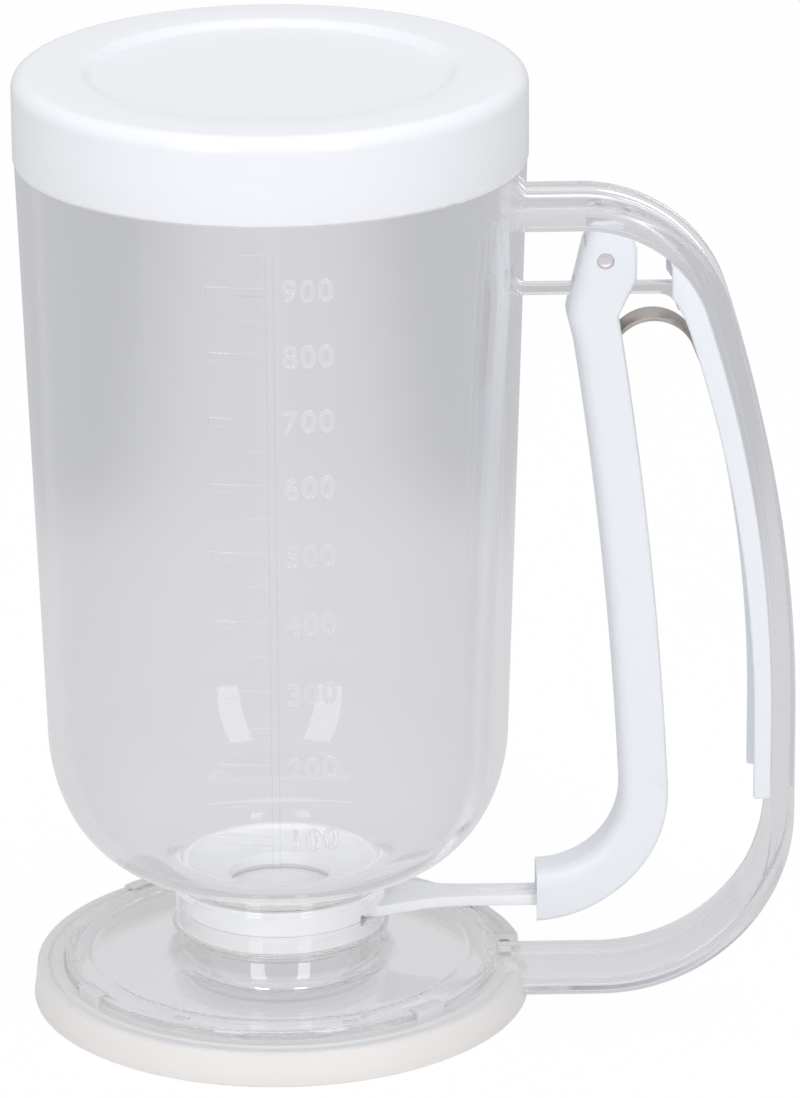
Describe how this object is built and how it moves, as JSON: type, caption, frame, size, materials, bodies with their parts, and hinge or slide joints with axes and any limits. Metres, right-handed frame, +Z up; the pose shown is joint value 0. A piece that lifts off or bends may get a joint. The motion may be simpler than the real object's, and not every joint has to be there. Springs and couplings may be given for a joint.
{
  "type": "batter dispenser",
  "caption": "Clear measuring cup on a round foot with a white lift-off lid, a loop handle and a squeeze lever that slides a gate open under the cup.",
  "frame": {"origin": "on the cup's axis, at the table under the foot ring", "axes": "+Z up along the cup's axis, +X towards the handle, -Y towards the measuring scale"},
  "size_m": [0.1566, 0.1026, 0.1976],
  "materials": {
    "lid_white": "semi-gloss moulded",
    "cup_clear": "clear moulded, raised scale",
    "foot_clear": "clear moulded",
    "foot_milky": "milky translucent moulded",
    "handle_clear": "clear moulded",
    "liner_white": "semi-gloss moulded",
    "lever_white": "semi-gloss moulded",
    "pin_steel": "turned steel",
    "spring_steel": "blued spring strip",
    "valve_white": "semi-gloss moulded",
    "seal_silicone": "silicone",
    "ring_clear": "clear moulded",
    "gate_white": "semi-gloss moulded"
  },
  "bodies": {
    "frame": {"cup": "cup_clear", "foot_plate": "foot_clear", "foot_ring": "foot_milky", "handle": "handle_clear", "grip_liner": "liner_white", "leaf_spring": "spring_steel", "valve_seat": "valve_white", "seat_seal": "seal_silicone", "gate_seal": "seal_silicone", "retaining_ring": "ring_clear"},
    "lid": {"lid": "lid_white"},
    "lever": {"lever": "lever_white", "pivot_pin": "pin_steel"},
    "gate": {"gate": "gate_white", "link_pin": "pin_steel"}
  },
  "joints": [
    {"name": "lid_lift", "type": "slide", "parent": "frame", "child": "lid", "axis": [0, 0, 1], "range_m": [0, 0.03]},
    {"name": "trigger", "type": "hinge", "parent": "frame", "child": "lever", "pos_m": [0.0664, 0, 0.1585], "axis": [0, -1, 0], "range_deg": [0, 9.7], "stiffness_Nm_per_rad": 1.5, "springref_deg": -8.59, "deforming": ["leaf_spring"]},
    {"name": "gate_slide", "type": "slide", "parent": "frame", "child": "gate", "axis": [1, 0, 0], "range_m": [0, 0.0235]}
  ],
  "couplings": [
    {"joint": "gate_slide", "follows": "trigger", "m_per_rad": 0.1386}
  ]
}
